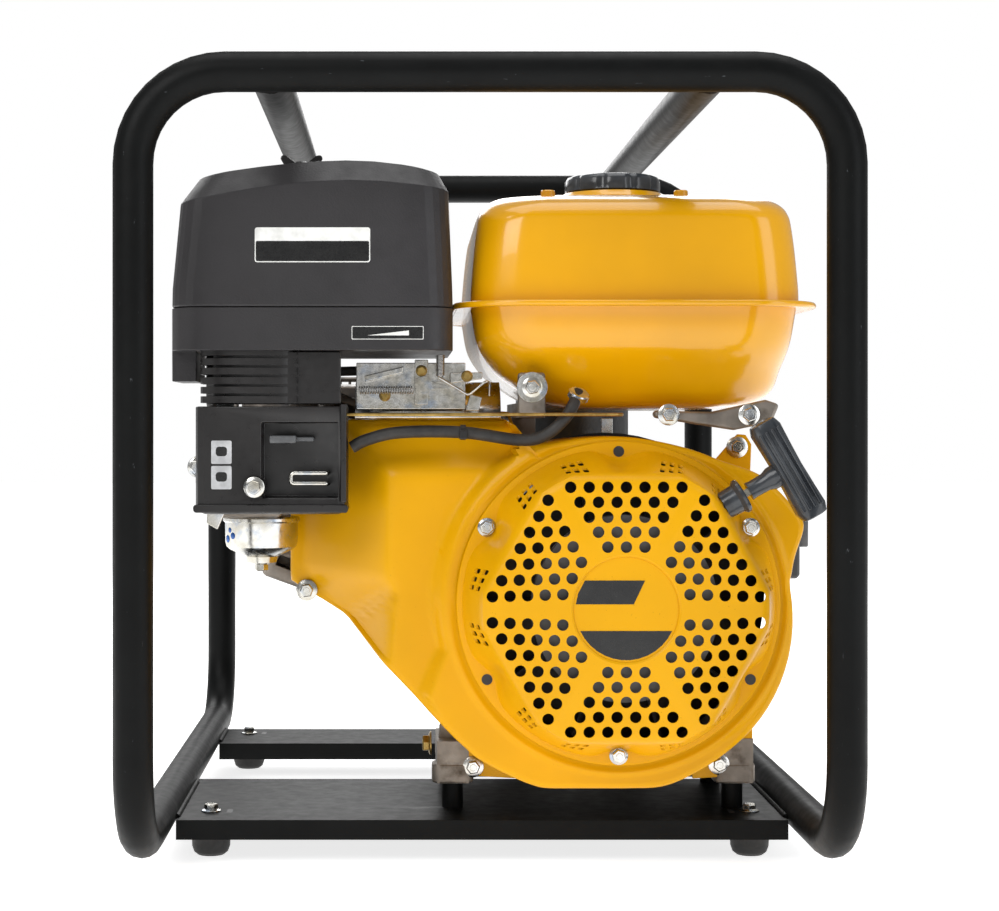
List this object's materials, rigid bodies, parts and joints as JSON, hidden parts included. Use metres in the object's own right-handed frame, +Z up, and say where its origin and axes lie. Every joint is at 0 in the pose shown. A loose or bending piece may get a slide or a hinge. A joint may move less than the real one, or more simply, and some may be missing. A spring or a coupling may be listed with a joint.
{
  "type": "engine driven trash pump",
  "caption": "Petrol-engine trash pump in a bent-tube carrying frame: recoil-start engine in front, self-priming pump behind, suction port at the rear and discharge on top.",
  "frame": {"origin": "on the ground under the middle of the carrying frame", "axes": "+Z up; -Y towards the recoil starter, the front; +Y towards the suction port; +X to the right seen from the front"},
  "size_m": [0.468, 0.6754, 0.53],
  "materials": {
    "black_tube": "satin black powder coat",
    "yellow": "gloss yellow enamel",
    "tank_yellow": "high gloss golden enamel",
    "black_plastic": "fine textured moulding",
    "castings": "as cast",
    "zinc": "bright zinc plate",
    "steel": "machined",
    "iron": "painted iron",
    "rubber": "moulded rubber",
    "foam": "oiled foam",
    "grey_plastic": "grey moulding"
  },
  "bodies": {
    "base": {"frame_front": "black_tube", "frame_rear": "black_tube", "top_rail_left": "black_tube", "top_rail_right": "black_tube", "engine_plate": "black_tube", "pump_plate": "black_tube", "fan_shroud": "yellow", "recoil_housing": "yellow", "fuel_tank_upper": "tank_yellow", "fuel_tank_lower": "tank_yellow", "rope_guide": "black_plastic", "air_cleaner_base": "black_plastic", "intake_cover": "black_plastic", "switch_box": "black_plastic", "crankcase": "castings", "crankcase_cover": "castings", "cylinder_head": "castings", "valve_cover": "castings", "tank_bracket_left": "castings", "tank_bracket_right": "castings", "carburettor": "castings", "discharge_port": "castings", "pump_adapter": "castings", "float_bowl": "zinc", "control_plate": "zinc", "heat_shield": "zinc", "mechanical_seal": "steel", "muffler": "iron", "pump_casing": "iron", "foot_1": "rubber", "foot_2": "rubber", "foot_3": "rubber", "foot_4": "rubber", "spark_plug_cap": "rubber", "fuel_hose": "rubber", "filter_element": "foam"},
    "crank": {"crankshaft": "steel", "flywheel_fan": "iron", "impeller": "iron"},
    "piston": {"piston": "castings"},
    "starter_handle": {"recoil_handle": "black_plastic"},
    "starter_pulley": {"recoil_pulley": "grey_plastic"},
    "fuel_cap": {"fuel_cap": "black_plastic"},
    "air_cover": {"air_cleaner_cover": "black_plastic"},
    "wing_nut": {"wing_nut": "black_plastic"},
    "choke": {"choke_lever": "grey_plastic"},
    "fuel_valve": {"fuel_valve_lever": "zinc"},
    "throttle": {"throttle_lever": "zinc"},
    "governor": {"governor_arm": "zinc"},
    "governor_link": {"governor_rod": "zinc"},
    "stop_switch": {"engine_switch": "grey_plastic"},
    "dipstick": {"dipstick": "grey_plastic"},
    "pump_cover": {"pump_cover": "iron", "suction_port": "castings"},
    "flap": {"flap_valve": "rubber"},
    "knob_left": {"cover_knob_1": "black_plastic"},
    "knob_right": {"cover_knob_2": "black_plastic"},
    "priming_plug": {"priming_plug": "castings"},
    "drain_plug": {"drain_plug": "castings"}
  },
  "joints": [
    {"name": "crank_spin", "type": "hinge", "parent": "base", "child": "crank", "pos_m": [0.088, -0.078, 0.181], "axis": [0, 1, 0], "continuous": true},
    {"name": "piston_stroke", "type": "slide", "parent": "base", "child": "piston", "axis": [0.9397, 0, -0.342], "range_m": [0, 0.064]},
    {"name": "starter_pull", "type": "slide", "parent": "base", "child": "starter_handle", "axis": [0.866, 0, 0.5], "range_m": [0, 0.6], "stiffness_N_per_m": 20, "springref_m": -0.2},
    {"name": "pulley_turn", "type": "hinge", "parent": "base", "child": "starter_pulley", "pos_m": [0.088, -0.28, 0.181], "axis": [0, 1, 0], "range_deg": [0, 630]},
    {"name": "fuel_cap_lift", "type": "slide", "parent": "base", "child": "fuel_cap", "axis": [0, 0, 1], "range_m": [0, 0.022]},
    {"name": "air_cover_lift", "type": "slide", "parent": "base", "child": "air_cover", "axis": [0, 0, 1], "range_m": [0, 0.018]},
    {"name": "wing_nut_turn", "type": "hinge", "parent": "air_cover", "child": "wing_nut", "pos_m": [-0.124, -0.171, 0.478], "axis": [0, 0, 1], "continuous": true},
    {"name": "choke_slide", "type": "slide", "parent": "base", "child": "choke", "axis": [1, 0, 0], "range_m": [0, 0.014]},
    {"name": "fuel_valve_slide", "type": "slide", "parent": "base", "child": "fuel_valve", "axis": [-1, 0, 0], "range_m": [0, 0.014]},
    {"name": "throttle_turn", "type": "hinge", "parent": "base", "child": "throttle", "pos_m": [-0.04, -0.2245, 0.325], "axis": [0, 1, 0], "range_deg": [-25, 25]},
    {"name": "governor_swing", "type": "hinge", "parent": "base", "child": "governor", "pos_m": [0.09, -0.1466, 0.27], "axis": [0, 1, 0], "range_deg": [-10, 10], "stiffness_Nm_per_rad": 0.1},
    {"name": "governor_link_slide", "type": "slide", "parent": "base", "child": "governor_link", "axis": [1, 0, 0], "range_m": [-0.0065, 0.0065]},
    {"name": "stop_switch_turn", "type": "hinge", "parent": "base", "child": "stop_switch", "pos_m": [0.2298, -0.132, 0.222], "axis": [1, 0, 0], "range_deg": [0, 45]},
    {"name": "dipstick_pull", "type": "slide", "parent": "base", "child": "dipstick", "axis": [1, 0, 0], "range_m": [0, 0.07]},
    {"name": "pump_cover_pull", "type": "slide", "parent": "base", "child": "pump_cover", "axis": [0, 1, 0], "range_m": [0, 0.07]},
    {"name": "flap_swing", "type": "hinge", "parent": "pump_cover", "child": "flap", "pos_m": [0.088, 0.206, 0.259], "axis": [1, 0, 0], "range_deg": [-32, 0]},
    {"name": "knob_left_turn", "type": "hinge", "parent": "pump_cover", "child": "knob_left", "pos_m": [-0.018, 0.22, 0.181], "axis": [0, 1, 0], "continuous": true},
    {"name": "knob_right_turn", "type": "hinge", "parent": "pump_cover", "child": "knob_right", "pos_m": [0.194, 0.22, 0.181], "axis": [0, 1, 0], "continuous": true},
    {"name": "priming_plug_lift", "type": "slide", "parent": "base", "child": "priming_plug", "axis": [0, 0, 1], "range_m": [0, 0.05]},
    {"name": "drain_plug_drop", "type": "slide", "parent": "base", "child": "drain_plug", "axis": [0, 0, -1], "range_m": [0, 0.018]}
  ],
  "couplings": [
    {"joint": "pulley_turn", "follows": "starter_pull", "rad_per_m": 18.182},
    {"joint": "governor_link_slide", "follows": "governor_swing", "m_per_rad": 0.0352}
  ]
}
